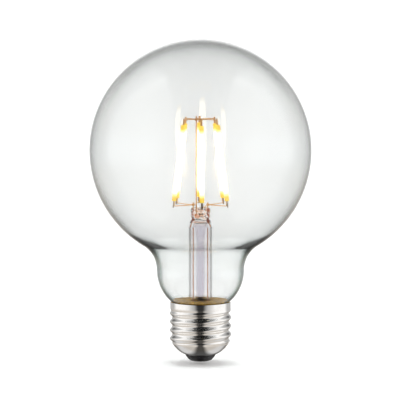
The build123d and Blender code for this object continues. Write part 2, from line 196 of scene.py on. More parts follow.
# %% Node tree
class Tree:
    """The node tree of a material or a world, emptied, with one method for every node."""

    def __init__(self, owner, output="OutputMaterial"):
        owner.use_nodes = True
        self.nodes, self.links = owner.node_tree.nodes, owner.node_tree.links
        self.nodes.clear()
        self.output = self.nodes.new("ShaderNode" + output)

    def node(self, kind, settings=None, inputs=None, out=0):
        """A node of a kind such as TexNoise: its settings come first, then values or links of its inputs."""
        made = self.nodes.new("ShaderNode" + kind)
        for key, value in (settings or {}).items():
            if key == "stops":
                ramp = made.color_ramp.elements
                while len(ramp) < len(value):
                    ramp.new(0.5)
                for element, (place, colour) in zip(ramp, value):
                    element.position, element.color = place, (*colour, 1.0)
            else:
                setattr(made, key, value)
        for key, value in (inputs or {}).items():
            self.feed(made.inputs[key], value)
        return Wire(self, made.outputs[out])

    def feed(self, socket, value):
        """Links a wrapped socket, or sets a number, a vector or a colour of three numbers."""
        if isinstance(value, Wire):
            self.links.new(value.socket, socket)
        elif hasattr(value, "__len__") and len(value) == 3 and socket.type == "RGBA":
            socket.default_value = (*value, 1.0)
        else:
            socket.default_value = value

    def finish(self, shader, socket="Surface"):
        self.links.new(shader.socket, self.output.inputs[socket])

    def mix_colour(self, factor, first, second):
        """Colour between two colours, by a factor."""
        return self.node("Mix", {"data_type": "RGBA"}, {0: factor, 6: first, 7: second}, out=2)

    def place(self):
        """The point being shaded, in the piece's own coordinates, in millimetres."""
        where = self.node("TexCoord", out="Object")
        return self.node("VectorMath", {"operation": "SCALE"}, {0: where, "Scale": 1 / mm})

    def height(self):
        """Height of the point being shaded, along the piece's own Z."""
        return self.node("SeparateXYZ", None, {0: self.place()}, out="Z")

    def noise(self, scale, detail=3.0, roughness=0.5, stretch=None):
        """Noise with a given number of features to the millimetre."""
        where = self.place()
        if stretch:
            where = self.node("VectorMath", {"operation": "MULTIPLY"}, {0: where, 1: stretch})
        inputs = {"Vector": where, "Scale": scale, "Detail": detail, "Roughness": roughness}
        return self.node("TexNoise", None, inputs)

    def bump(self, height, distance, strength=0.6):
        """A normal that follows a height, where distance is the height's full range in metres."""
        return self.node("Bump", None, {"Height": height, "Distance": distance, "Strength": strength})

    def path(self, name):
        """A reading of the light path, such as Is Camera Ray."""
        return self.node("LightPath", out=name)


def new_material(name):
    material = bpy.data.materials.new(name)
    return material, Tree(material)


print("short names of the tree:", "mix_colour, place, height, noise, bump, path")

# %% [markdown]
# ## Clear glass
# The globe is soda-lime glass, blown 0.9 mm thick. A Principled surface with full transmission and the real
# index of refraction bends and reflects light as the glass does, because the mesh has both of its walls.
# Inside the wall a weak green absorption adds up where one looks along the glass, so its edges turn dark and
# greenish from every side. Low on the globe, at the neck and the shoulder, the outline also gets painted
# shade: the glass's colour turns dark green where one looks along it. A few percent of the surface is rough,
# like dust, which gives the lit filaments their halo. That haze fades out towards the clean neck. Light that
# only makes shadows passes straight through, as a thin clear wall hardly shades what is behind it.

# %% Glass materials
glass_index = 1.5
clear_rough, hazy_rough = 0.0, 0.35
haze_low, haze_high = 35.0, 80.0
# Heights over which the painted shade on the rim fades out.
painted_rim_low, painted_rim_high = 46.0, 56.0
absorb_density = 100.0


def glass_material(name, tint, wave, wave_height, haze, absorbed=None, painted_wire_reflection=None, rim=None):
    """Clear glass with a faint unevenness and a share of haze.

    absorbed colours the inside of a wall, streaks tints the glass in patches with a painted reflection of the
    copper wires, and rim paints shade on its outline at the neck and the shoulder, darker where one looks
    along the glass."""
    material, tree = new_material(name)
    height = tree.height()
    through = tint
    if painted_wire_reflection:
        # Patches of painted reflection of the copper wires.
        through = tree.mix_colour(tree.noise(0.5, 2.0).between(0.45, 0.6), tint, painted_wire_reflection)
    if rim:
        # Painted shade: where one looks along the glass, low on the globe, its colour turns to the dark rim
        # colour.
        painted_rim_shade = tree.node("LayerWeight", None, {"Blend": 0.5}, out="Facing").between(0.56, 0.82)
        through = tree.mix_colour(painted_rim_shade * (1 - height.between(painted_rim_low, painted_rim_high)), tint, rim)
    ripple = tree.bump(tree.noise(wave, 1.0), wave_height, 0.5)
    layers = [tree.node("BsdfPrincipled", None, {
        "Base Color": through, "Roughness": roughness, "IOR": glass_index, "Transmission Weight": 1.0,
        "Normal": ripple}) for roughness in (clear_rough, hazy_rough)]
    hazy = height.between(haze_low, haze_high) * haze
    glass = tree.node("MixShader", None, {0: hazy, 1: layers[0], 2: layers[1]})
    clear = tree.node("BsdfTransparent", None, {"Color": tint})
    soft_light = tree.path("Is Shadow Ray").maths("MAXIMUM", tree.path("Is Diffuse Ray"))
    tree.finish(tree.node("MixShader", None, {0: soft_light, 1: glass, 2: clear}))
    if absorbed:
        inside = tree.node("VolumeAbsorption", None, {"Color": absorbed, "Density": absorb_density})
        tree.finish(inside, "Volume")
    return material


# The rim colour is painted shade on the outline of the neck and the shoulder.
globe_glass = glass_material("globe_glass", (0.99, 0.99, 0.99), 0.05, 2e-5, 0.045,
                             absorbed=(0.75, 0.86, 0.82), rim=(0.24, 0.33, 0.30))
tube_wall_glass = glass_material("stem_tube_glass", (0.965, 0.955, 0.975), 0.25, 3e-5, 0.02)
# The warm tint and the reddish streaks are painted reflections of the copper wires and the filaments' light.
press_glass = glass_material("press_glass", (0.99, 0.95, 0.92), 0.5, 2e-3, 0.02, painted_wire_reflection=(0.92, 0.44, 0.26))
print("glasses:", globe_glass.name, tube_wall_glass.name, press_glass.name)

# %% [markdown]
# ## The globe
# Both walls are one profile: it runs down the inside, round the cut end that stands in the cap, and up the
# outside. Three arcs that touch one another make it: the neck, the shoulder and the sphere. Blown glass is
# never even. Here it gathers low on the globe, where the globe runs out into the shoulder. The thicker wall
# draws a soft dark line there.

# %% Globe mesh
foot_extra = 0.6
foot_low, foot_middle, foot_high = 27.0, 46.0, 56.0
neck_steps, shoulder_steps, globe_steps, globe_around = 26, 26, 88, 176


def wall_at(z):
    """Thickness of the blown wall at a height, in millimetres."""
    return glass_wall + foot_extra * ease(foot_low, foot_middle, z) * (1 - ease(foot_middle, foot_high, z))


def globe_wall(wall):
    """The wall from the neck's seat up to the pole, set in from the outer surface by wall(height)."""
    lean = math.degrees(math.atan2(neck_z - globe_z, shoulder_x))
    inset = wall(0)
    turn = math.degrees(math.acos((neck_seat_radius - inset - neck_curve_x) / (neck_curve_radius - inset)))
    points = []
    for cx, cz, radius, grows, start, end, count in (
            (neck_curve_x, neck_z, neck_curve_radius, -1, -turn, 0, neck_steps),
            (shoulder_x, neck_z, shoulder_radius, 1, 180, 180 + lean, shoulder_steps),
            (0, globe_z, globe_radius, -1, lean, 90, globe_steps)):
        for angle in np.radians(np.linspace(start, end, count + 1))[1 if points else 0:]:
            reach = radius + grows * wall(cz + radius * math.sin(angle))
            points.append((cx + reach * math.cos(angle), cz + reach * math.sin(angle)))
    points[-1] = (0.0, points[-1][1])
    return points


outer_wall = globe_wall(lambda z: 0.0)
inner_wall = globe_wall(wall_at)
cut_end = [(neck_seat_radius - glass_wall, glass_low.z + 0.2), (neck_seat_radius - 0.65, glass_low.z),
           (neck_seat_radius - 0.25, glass_low.z), (neck_seat_radius, glass_low.z + 0.2)]
profile = inner_wall[::-1] + cut_end + outer_wall
globe = turn_profile("glass_envelope_blown", profile, globe_around, globe_glass)
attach(globe, "root")
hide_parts("glass_envelope")
print("globe faces:", len(globe.data.polygons), "thickest wall:", round(wall_at(foot_middle), 2), "mm")

# %% [markdown]
# ## The stem
# The stem is a glass tube, flared at its foot and fused to the neck. Its top was pinched flat while it was
# soft, with the wires in it. Its mesh is a stack of rings: round ones for the tube, which turn into a rounded
# oblong at the press. Two slow waves round the oblong and up its height make the press's soft lumps.

# %% Stem rings
stem_radius, stem_wall = 5.0, 0.9
bore = stem_radius - stem_wall
flare_curve = 0.8
flare_z = stem_low.z
press_top_z = stem_high.z
press_z = press_top_z - 5.6
tube_top_z = press_z - 1.3
press_half = (4.1, 1.7)
press_squareness = 0.62
stem_around = 112


def neck_inside(z):
    """Radius of the neck's inner wall at a height, less the seam where the flare is fused to it."""
    return neck_curve_x + math.sqrt((neck_curve_radius - glass_wall) ** 2 - (neck_z - z) ** 2) - 0.05


def stem_ring(z, radius, squash=0.0, shrink=0.0):
    """A ring of the stem: round at squash 0, the press's rounded oblong at squash 1, with its soft lumps."""
    points = []
    dent = 0.32 * math.exp(-((z - press_z - 0.9) / 0.7) ** 2) + 0.12 * math.sin(2.6 * (z - press_z))
    for j in range(stem_around):
        turn = 2 * math.pi * j / stem_around
        c, s = math.cos(turn), math.sin(turn)
        lump = 0.34 * math.sin(3 * turn + 1.7 * z) + 0.26 * math.sin(7 * turn - 2.9 * z + 1.0)
        halves = press_half[0] - shrink - squash * dent, press_half[1] - shrink + lump * 0.8
        flat = [half * math.copysign(abs(v) ** press_squareness, v) for half, v in zip(halves, (c, s))]
        x, y = radius * c, radius * s
        points.append((x + (flat[0] - x) * squash, y + (flat[1] - y) * squash, z))
    return points


print("press from", round(press_z, 2), "to", round(press_top_z, 2), "mm")

# %% [markdown]
# The rings follow the glass as one closed skin. They start in the dome that closes the bore, run down the
# bore, out along the underside of the flare, up its edge, back over its top and up the outside to the press.

# %% Stem mesh
curve_x = stem_radius + flare_curve
curve_z = flare_z + stem_wall + flare_curve
flare_top_z = flare_z + stem_wall
dome_z = tube_top_z + 0.6
rings = [[(0.0, 0.0, dome_z)]]
rings += [stem_ring(dome_z - 2.2 * (1 - math.cos(t)), bore * math.sin(t)) for t in np.linspace(0.15, 1.5, 9)]
rings += [stem_ring(z, bore) for z in np.linspace(tube_top_z - 2.0, curve_z, 12)]
rings += [stem_ring(z, r) for r, z in arc(curve_x, curve_z, flare_curve + stem_wall, 180, 270, 14)]
rings += [stem_ring(z, neck_inside(z)) for z in np.linspace(flare_z + 0.02, flare_top_z - 0.02, 4)]
rings += [stem_ring(z, r) for r, z in arc(curve_x, curve_z, flare_curve, 270, 180, 14)]
rings += [stem_ring(z, stem_radius) for z in np.linspace(curve_z + 1.0, tube_top_z - 1.2, 14)]
pinch_low, pinch_high = tube_top_z - 1.0, press_z + 0.6
rings += [stem_ring(z, stem_radius, ease(pinch_low, pinch_high, z))
          for z in np.linspace(pinch_low, pinch_high, 14)]
rings += [stem_ring(z, stem_radius, 1.0) for z in np.linspace(press_z + 0.9, press_top_z - 0.9, 18)]
rings += [stem_ring(press_top_z - 0.9 + 0.9 * math.sin(t), stem_radius, 1.0, 0.9 * (1 - math.cos(t)))
          for t in np.linspace(0.2, 1.45, 8)]
rings.append([(0.0, 0.0, press_top_z)])
stem = skin_rings("stem_glass_drawn", rings, tube_wall_glass)
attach(stem, "root")
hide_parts("stem_glass")
print("stem rings:", len(rings), "faces:", len(stem.data.polygons))

# %% [markdown]
# The flare is wetted by the cement below it and fused to the neck, so it hardly mirrors anything, even at the
# flat angle that one sees it at. The dome that closes the bore gets the same plain finish. The press has its
# own glass, whose warm tint and reddish streaks are painted reflections of the copper wires that it was
# pinched round and of the filaments' warm light. Faces get their finish by height.

# %% Flare and press finishes
sheen_share = 0.04
flare_glass, tree = new_material("flare_glass")
sheen = tree.node("BsdfGlossy", None, {"Color": (0.9, 0.9, 0.9), "Roughness": 0.08,
                                       "Normal": tree.bump(tree.noise(0.3, 1.0), 2e-5, 0.5)})
clear = tree.node("BsdfTransparent", None, {"Color": (0.97, 0.97, 0.96)})
tree.finish(tree.node("MixShader", None, {0: sheen_share, 1: clear, 2: sheen}))
stem.data.materials.append(flare_glass)
stem.data.materials.append(press_glass)
for face in stem.data.polygons:
    centre = face.center / mm
    reach = math.hypot(centre.x, centre.y)
    in_flare = centre.z < curve_z and reach > bore + 0.02
    in_dome = tube_top_z - 2.2 < centre.z < dome_z + 0.02 and reach < bore - 0.02
    if in_flare or in_dome:
        face.material_index = 1
    elif centre.z > press_z - 0.8:
        face.material_index = 2
print("faces by finish:", [sum(f.material_index == n for f in stem.data.polygons) for n in range(3)])

# %% [markdown]
# The exhaust tube hangs inside the stem, where light has already been through four walls. A thin wall hardly
# bends light, so its finish is see-through and shinier where one looks along the wall, and painted shade
# makes it darker there.

# %% Exhaust tube finish
gloss_share, edge_power = 0.35, 3.0
tube_glass, tree = new_material("thin_tube_glass")
facing = tree.node("LayerWeight", None, {"Blend": 0.5}, out="Facing")
ripple = tree.bump(tree.noise(0.4, 1.0), 4e-5)
face_on = tree.node("BsdfTransparent", None, {"Color": (0.975, 0.965, 0.985)})
# Painted shade: the darker see-through colour where one looks along the wall.
painted_edge_shade = tree.node("BsdfTransparent", None, {"Color": (0.88, 0.85, 0.92)})
walls = tree.node("MixShader", None, {0: facing ** edge_power, 1: face_on, 2: painted_edge_shade})
shine = tree.node("BsdfGlossy", None, {"Color": (1.0, 1.0, 1.0), "Roughness": 0.05, "Normal": ripple})
gloss = tree.node("Fresnel", None, {"IOR": 1.45, "Normal": ripple}) * gloss_share
tree.finish(tree.node("MixShader", None, {0: gloss, 1: walls, 2: shine}))
print("nodes of the tube's finish:", len(tree.nodes))

# %% [markdown]
# The air was pumped out of the globe through this tube, and then its lower end was melted shut. So its
# profile starts at a rounded tip on the axis, runs up the outside to where the tube widens into the press
# like a trumpet, and comes back down the inside.

# %% Exhaust tube
tube_low, tube_high = box_mm("exhaust_tube")
tube_radius, tube_wall, tube_trumpet = 1.7, 0.6, 0.6


def tube_side(z, inset):
    """Radius of the tube at a height, with the trumpet at its top."""
    return tube_radius - inset + tube_trumpet * ease(tube_high.z - 6.5, tube_high.z - 0.4, z)


heights = np.linspace(tube_low.z + 4, tube_high.z - 0.2, 26)
profile = [(0.0, tube_low.z)] + arc(0, tube_low.z + tube_radius, tube_radius, -85, 0, 10)
profile += [(tube_side(z, 0), z) for z in heights]
profile += [(tube_side(tube_high.z, tube_wall / 2), tube_high.z)]
profile += [(tube_side(z, tube_wall), z) for z in heights[::-1]]
profile += arc(0, tube_low.z + 2.2, tube_radius - tube_wall, 0, -80, 8) + [(0.0, tube_low.z + 1.1)]
exhaust = turn_profile("exhaust_tube_drawn", profile, 64, tube_glass)
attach(exhaust, "root")
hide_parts("exhaust_tube")
print("tube faces:", len(exhaust.data.polygons), "widest:", round(tube_side(tube_high.z, 0), 2), "mm")

# %% [markdown]
# ## Nickel plate and other metals
# Nickel is a warm grey metal. Plating over a drawn and rolled sheet is bright but not a mirror: fine lines
# run round it from the rolling, and it is a little cloudy. The lines are a noise squeezed along the axis, in
# the roughness and in a very low bump. The same shader, with the noise squeezed the other way, does drawn
# wire.

# %% Metal materials
def metal_material(name, colour, dark, rough, line_stretch, lines=2e-6, bare=1.0):
    """Metal with drawn or rolled lines.

    It takes a colour, its darker patches, a range of roughness, how noise is squeezed, the lines' height in
    metres, and how bare the metal is."""
    material, tree = new_material(name)
    drawn = tree.noise(1.0, 2.0, 0.6, line_stretch)
    cloud = tree.noise(0.35, 3.0, 0.55)
    tree.finish(tree.node("BsdfPrincipled", None, {
        "Base Color": tree.mix_colour(cloud.between(0.35, 0.7), colour, dark),
        "Roughness": rough[0] + (rough[1] - rough[0]) * (drawn * 0.5 + cloud * 0.5),
        "Metallic": bare,
        "Normal": tree.bump(drawn, lines)}))
    return material


round_the_axis = (0.15, 0.15, 9.0)
nickel = metal_material("nickel_plate", (0.97, 0.955, 0.935), (0.93, 0.91, 0.885), (0.04, 0.12),
                        round_the_axis, 8e-7)
print("nickel nodes:", len(nickel.node_tree.nodes))

# %% [markdown]
# ## The nickel-plated cap
# The shell is one sheet, 0.3 mm thick, drawn into a cup and rolled into a thread between two dies. Each ring
# of its mesh is a circle pushed off the axis by half the thread's depth. The push turns once round for each
# pitch, so the rings wind up into a right-hand thread, inside and outside alike. Below the thread the cup
# narrows in a shallow bowl.

# %% Cap profile
crest_radius, thread_depth, pitch, crest_z = 13.2, 1.1, 3.62, 0.75
skirt_radius, sheet = 12.95, 0.3
root_radius = crest_radius - thread_depth
seat_radius, seat_z, seat_slope = 6.7, shell_low.z, math.radians(23.0)
bowl_radius, bend_radius = 11.6, 1.2
bowl_x = seat_radius - bowl_radius * math.sin(seat_slope)
bowl_z = seat_z + bowl_radius * math.cos(seat_slope)
bend_x = root_radius - bend_radius
bend_slope = math.asin((bend_x - bowl_x) / (bowl_radius - bend_radius))
thread_low = bowl_z - (bowl_radius - bend_radius) * math.cos(bend_slope)
thread_high = shell_high.z - 2.8
cap_around = 168


def shell_ring(z, inset):
    """One ring of the threaded wall, set in from the outer surface."""
    mean = crest_radius - thread_depth / 2
    below, above = ease(thread_low, thread_low + 1.1, z), ease(thread_high, thread_high - 1.8, z)
    radius = mean - (1 - below) * (mean - root_radius) + (1 - above) * (skirt_radius - mean) - inset
    push = thread_depth / 2 * below * above
    turn = 2 * math.pi * (z - crest_z) / pitch
    return [(push * math.cos(turn) + x, push * math.sin(turn) + y, z)
            for x, y, _ in circle(radius, z, cap_around)]


def bowl_wall(inset):
    """The bowl from the insulator's seat up to the thread, with the bend between them."""
    slopes = [math.degrees(a) - 90 for a in (seat_slope, bend_slope)]
    return (arc(bowl_x, bowl_z, bowl_radius - inset, *slopes, 16)
            + arc(bend_x, thread_low, bend_radius - inset, slopes[1], 0, 6)[1:])


print("thread from", round(thread_low, 2), "to", round(thread_high, 2), "mm")

# %% [markdown]
# The rings run up the outside, over the rolled rim and down the inside. The last ring joins the first, so the
# sheet is closed.

# %% Cap mesh
def threaded_side(inset):
    """The rings of one side of the sheet, from the bowl to the top of the thread."""
    levels = np.linspace(thread_low + 0.05, thread_high - 0.05, 120)
    return [circle(r, z, cap_around) for r, z in bowl_wall(inset)] + [shell_ring(z, inset) for z in levels]


rim_offsets = ((0, -2.0), (0, -0.5), (0, -0.12), (-0.04, -0.03), (-0.12, 0), (-0.22, 0), (-sheet, -0.08),
               (-sheet, -2.0))
rim = [circle(skirt_radius + r, shell_high.z + z, cap_around) for r, z in rim_offsets]
rings = threaded_side(0) + rim + threaded_side(sheet)[::-1]
shell = skin_rings("cap_shell_rolled", rings, nickel, loop=True)
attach(shell, "root")
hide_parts("cap_shell")
print("cap faces:", len(shell.data.polygons))

# %% [markdown]
# ## Insulator
# The bowl ends in a black insulator, which is poured or moulded round the contact, so it is smooth with a
# slightly rounded lip. It follows the bowl inside and outside of the shell's edge, which it grips. Its gloss
# is low, because the specular level is set below the usual one.

# %% Insulator
insulator_low, insulator_high = box_mm("cap_insulator")
black, tree = new_material("black_insulator_gloss")
mottle = tree.noise(1.4, 4.0, 0.6)
tree.finish(tree.node("BsdfPrincipled", None, {
    "Base Color": tree.mix_colour(mottle, (0.010, 0.010, 0.012), (0.035, 0.033, 0.036)),
    "Roughness": 0.12 + mottle * 0.22,
    "Specular IOR Level": 0.22,
    "Normal": tree.bump(tree.noise(0.8, 2.0), 4e-5)}))

lip_radius, recess_radius, recess_z, nail_radius = 4.7, 4.25, 0.75, 1.15
plug_radius, edge_slope, grip = 8.6, 22.6, 0.36


def insulator_point(slope, inset):
    """A point of the insulator that follows the bowl at a slope, in degrees, inset from its outer surface."""
    a = math.radians(slope)
    return bowl_x + (bowl_radius - inset) * math.sin(a), bowl_z - (bowl_radius - inset) * math.cos(a)


flank_top = insulator_point(edge_slope, -0.02)
low_z, high_z = insulator_low.z, insulator_high.z
profile = [(nail_radius, high_z), (nail_radius, recess_z), (recess_radius - 0.1, recess_z),
           (recess_radius, recess_z - 0.1), (recess_radius, low_z + 0.12), (recess_radius + 0.1, low_z),
           (lip_radius - 0.12, low_z), (lip_radius + 0.05, low_z + 0.1)]
for step in np.linspace(0.08, 1, 10):
    bulge = 0.10 * math.sin(math.pi * step)
    profile.append((lip_radius + (flank_top[0] - lip_radius) * step + bulge * 0.77,
                    low_z + (flank_top[1] - low_z) * step - bulge * 0.64))
profile += [insulator_point(slope, grip) for slope in (edge_slope, 26.0, 30.0, 34.0)]
profile += [(plug_radius, high_z - 0.2), (plug_radius - 0.2, high_z)]
insulator = turn_profile("cap_insulator_moulded", profile, 112, black, loop=True)
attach(insulator, "root")
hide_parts("cap_insulator")
print("insulator faces:", len(insulator.data.polygons))

# %% [markdown]
# ## Centre contact
# The contact is a stamped and tinned disc with a nail that reaches into the cap. Its flat face is the lowest
# point of the bulb. Tinned metal turns dull, so its finish has a wide range of roughness. Its grey is painted
# dark as painted shade, since the contact sits in the shadow under the bulb.

# %% Centre contact
even = (2.0, 2.0, 2.0)
# Painted shade: the contact's dark grey.
shaded_solder = metal_material("painted_shade_solder", (0.40, 0.39, 0.38), (0.27, 0.26, 0.25), (0.3, 0.5), even, 1e-5)
contact_high = box_mm("centre_contact")[1]
disc = [(0.0, 0.0), (1.6, 0.0), (3.1, 0.01), (3.5, 0.05), (3.8, 0.13), (4.02, 0.24), (4.15, 0.37), (4.2, 0.5),
        (4.2, 0.62), (4.12, 0.7), (1.2, 0.7)]
nail = [(1.1, 0.8), (1.1, contact_high.z - 0.2), (0.9, contact_high.z), (0.0, contact_high.z)]
contact = turn_profile("centre_contact_stamped", disc + nail, 80, shaded_solder)
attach(contact, "root")
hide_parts("centre_contact")
print("contact faces:", len(contact.data.polygons), "nail up to", round(contact_high.z, 2), "mm")

# %% [markdown]
# ## LED filaments
# Each filament is a thin strip of LEDs inside a round coat of silicone and phosphor. Lit, the coat glows a
# warm white that a camera sees as plain white. Its ends hold no LEDs, so there the yellow of the phosphor
# shows, with a dim yellow glow painted on as painted light. One shader does all six: it reads how far along
# the filament a point is, and only the emitted colour changes there.

# %% Filament material
filament_length = 32.8
dark_end, full_glow, glow_strength = 1.5, 5.5, 3.0
coat, tree = new_material("phosphor_coat")
along = tree.height()
lit = along.between(dark_end, full_glow) * (filament_length - along).between(dark_end, full_glow)
grain = tree.noise(1.6, 3.0, 0.6)
tree.finish(tree.node("BsdfPrincipled", None, {
    "Base Color": tree.mix_colour(grain, (0.98, 0.72, 0.08), (0.94, 0.62, 0.05)),
    "Roughness": 0.45 + grain * 0.2,
    "Normal": tree.bump(grain, 6e-5, 0.7),
    # The dim yellow emitted at the unlit ends is painted light.
    "Emission Color": tree.mix_colour(lit, (0.11, 0.070, 0.002), (1.0, 0.87, 0.70)),
    "Emission Strength": glow_strength}))
print("filament nodes:", len(tree.nodes))

# %% [markdown]
# ## Placing the filaments
# The six stand round the stem and lean inwards. Each is built upright at the origin and then placed by a
# matrix, so its own Z runs along it, which is what the shader reads.

# %% Filament places
filament_angles = (3.0, 68.0, 128.0, 183.0, 236.0, 292.0)
foot_radius, head_radius, tab_length = 12.2, 7.9, 2.8
arm_on_tab, hub_height = 0.7, 0.9
lower_arm_z = box_mm("left_bracket")[0].z + hub_height / 2
foot_z = lower_arm_z - arm_on_tab + tab_length
lean = math.asin((foot_radius - head_radius) / filament_length)
head_z = foot_z + filament_length * math.cos(lean)
upper_arm_z = head_z + tab_length - arm_on_tab


def filament_frame(angle):
    """Origin at the foot, Z along the filament, X away from the bulb's axis, in metres."""
    around = math.radians(angle)
    out = Vector((math.sin(around), -math.cos(around), 0.0))
    up = Vector((0.0, 0.0, 1.0))
    z = -out * math.sin(lean) + up * math.cos(lean)
    x = out * math.cos(lean) + up * math.sin(lean)
    placed = Matrix((x, z.cross(x), z)).transposed().to_4x4()
    placed.translation = (out * foot_radius + up * foot_z) * mm
    return placed


print("lean:", round(math.degrees(lean), 2), "arms at", round(lower_arm_z, 2), "and", round(upper_arm_z, 2))

# %% [markdown]
# The coat is dipped or moulded, so its ends are round and its side is very slightly wavy. Both show only as
# a softer highlight, but they cost nothing in a turned profile.

# %% Filament meshes
coat_radius, end_round = 1.0, 0.42
wave_share, waves = 0.015, 2.4
coat_end = [(coat_radius - end_round + end_round * math.cos(a), end_round + end_round * math.sin(a))
            for a in np.linspace(-math.pi / 2, 0, 6)]
coat_side = [(coat_radius * (1 - wave_share + wave_share * math.cos(z * waves)), z)
             for z in np.linspace(1.0, filament_length - 1.0, 60)]
coat_profile = [(0.0, 0.0)] + coat_end + coat_side
coat_profile += [(r, filament_length - z) for r, z in coat_end[::-1]] + [(0.0, filament_length)]
for number, angle in enumerate(filament_angles, start=1):
    bar = turn_profile(f"filament_{number}_coated", coat_profile, 28, coat)
    bar.matrix_world = filament_frame(angle)
    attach(bar, "root")
    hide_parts(f"filament_{number}")
print("filaments:", len(filament_angles), "faces of each:", len(bar.data.polygons))

# %% [markdown]
# ## Wire arms
# The arms are drawn wire, bent by a tool and welded to the filaments' tabs. A curve with a round bevel makes
# them: each corner of the path is turned into a short arc first, as a bent wire never has a sharp corner. The
# upper arms catch more of the filaments' light, so their colour is painted a little more golden, as painted
# light.

# %% Wire helpers
arm_wire = metal_material("bronzed_wire", (1.0, 0.64, 0.30), (0.85, 0.44, 0.15), (0.35, 0.55), even, bare=0.5)
# Painted light: the upper arms' and top tabs' more golden colour stands in for the filaments' light on them.
painted_light_wire = metal_material("painted_light_top_wire", (0.88, 0.48, 0.15), (0.60, 0.29, 0.08), (0.35, 0.55), even,
                          bare=0.5)


def rounded_path(points, radius, steps=6):
    """The points with each inner corner replaced by a curve that starts a radius before it."""
    points = [Vector(p) for p in points]
    path = [points[0]]
    for before, corner, after in zip(points, points[1:], points[2:]):
        first = corner + (before - corner).normalized() * radius
        last = corner + (after - corner).normalized() * radius
        for t in np.linspace(0, 1, steps + 1):
            path.append(first * (1 - t) ** 2 + corner * 2 * t * (1 - t) + last * t**2)
    return path + [points[-1]]


def wire_piece(name, paths, radius, material, bend=0.7):
    """One curve object with a round wire along each path, in millimetres."""
    curve = bpy.data.curves.new(name, "CURVE")
    curve.dimensions, curve.bevel_depth, curve.bevel_resolution = "3D", radius * mm, 4
    curve.use_fill_caps = True
    for path in paths:
        line = rounded_path(path, bend)
        spline = curve.splines.new("POLY")
        spline.points.add(len(line) - 1)
        for point, place in zip(spline.points, line):
            point.co = (*(place * mm), 1.0)
    curve.materials.append(material)
    piece = bpy.data.objects.new(name, curve)
    scene.collection.objects.link(piece)
    return piece


print("wires:", arm_wire.name, painted_light_wire.name)

# %% [markdown]
# Each arm starts in a small hub, sags or rises a little on its way as soft wire does, and turns along the
# filament's tab, where it is welded. The top spider has six arms, and each bracket below has three.

# %% Arms and hubs
arm_radius, wire_gap, tab_half, weld_length = 0.2, 0.03, 0.125, 1.9
support_x, lead_x = -1.8, 3.1
hub_profile = [(0.28, -0.45), (0.56, -0.45), (0.65, -0.36), (0.6, 0.0), (0.65, 0.36), (0.56, 0.45),
               (0.28, 0.45)]


def arm_path(hub_x, angle, at_head):
    """From the hub out to the tab's inner side, then along the tab."""
    placed = filament_frame(angle)
    z = placed.to_3x3().col[2]
    arm_z = upper_arm_z if at_head else lower_arm_z
    start = placed @ Vector((-(tab_half + arm_radius + wire_gap) * mm, 0, 0)) / mm
    turn = start + z * ((arm_z - start.z) / z.z)
    dip = Vector((hub_x, 0, arm_z)).lerp(turn, 0.5) + Vector((0, 0, 0.12 if at_head else -0.1))
    return [Vector((hub_x, 0, arm_z)), dip, turn, turn + z * (-weld_length if at_head else weld_length)]


spiders = (("top_spider", support_x, filament_angles, True),
           ("right_bracket", lead_x, filament_angles[:3], False),
           ("left_bracket", -lead_x, filament_angles[3:], False))
for node, hub_x, angles, at_head in spiders:
    arm_z = upper_arm_z if at_head else lower_arm_z
    wire = painted_light_wire if at_head else arm_wire
    arms = wire_piece(node + "_arms", [arm_path(hub_x, a, at_head) for a in angles], arm_radius, wire)
    sleeve = turn_profile(node + "_hub", hub_profile, 32, wire, loop=True)
    sleeve.matrix_world = Matrix.Translation(Vector((hub_x, 0, arm_z)) * mm)
    for piece in (arms, sleeve):
        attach(piece, "root")
        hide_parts(node)
print("arms:", sum(len(angles) for _, _, angles, _ in spiders))

# %% [markdown]
# ## The tabs
# Each filament's strip comes out of its coat as a thin stamped tab. The solids are plain strips already, so
# they keep their shape. The lower tabs are painted darker, as painted shade, since they stand against the
# bright glass. The top tabs take the upper arms' painted golden light.

# %% Tab finishes
# Painted shade: the lower tabs' dark brown.
shaded_tab_metal = metal_material("painted_shade_tab", (0.60, 0.42, 0.30), (0.34, 0.22, 0.15), (0.3, 0.45), even)
tabs = [node for name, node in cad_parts.items() if name.endswith("_tab")]
for node in tabs:
    node.data.materials.clear()
    node.data.materials.append(painted_light_wire if "_top_" in node.name else shaded_tab_metal)
print("tabs:", len(tabs))

# %% [markdown]
# ## Cement
# Phenolic cement is baked between neck and cap. It is golden brown and grainy, and it shows through the flare
# at the foot of the neck. Two noises of different size colour it, and the finer one lifts its surface.

# %% Cement material
cement, tree = new_material("golden_cement")
coarse, fine = tree.noise(0.55, 4.0, 0.6), tree.noise(3.5, 3.0, 0.6)
browns = [(0.25, (0.20, 0.09, 0.004)), (0.45, (0.38, 0.20, 0.012)), (0.60, (0.55, 0.31, 0.03)),
          (0.8, (0.78, 0.52, 0.14))]
tree.finish(tree.node("BsdfPrincipled", None, {
    "Base Color": tree.node("ValToRGB", {"stops": browns}, {"Fac": coarse * 0.6 + fine * 0.4}),
    "Roughness": 0.5 + fine * 0.4,
    "Normal": tree.bump(fine, 2.5e-4, 0.9)}))
print("cement nodes:", len(tree.nodes))

# %% [markdown]
# ## Leads and the driver
# The leads change metal on their way up: plain copper below the press, red seal wire in the glass, and
# bronzed wire above it. Nothing of the driver shows while the cap is closed, but someone may lift the shell
# off. Moulded plastic, laminate and lacquer each get a plain material with a fine grain of its own.

# %% Lead and driver materials
copper = metal_material("drawn_copper", (0.86, 0.42, 0.22), (0.70, 0.30, 0.14), (0.22, 0.38), (6.0, 6.0, 0.3))
seal_copper = metal_material("red_seal_wire", (0.72, 0.16, 0.05), (0.48, 0.08, 0.03), (0.25, 0.4),
                             (5.0, 5.0, 0.5))
post_wire = metal_material("golden_wire", (0.90, 0.52, 0.20), (0.78, 0.38, 0.12), (0.3, 0.5), (5.0, 5.0, 0.4),
                           bare=0.6)


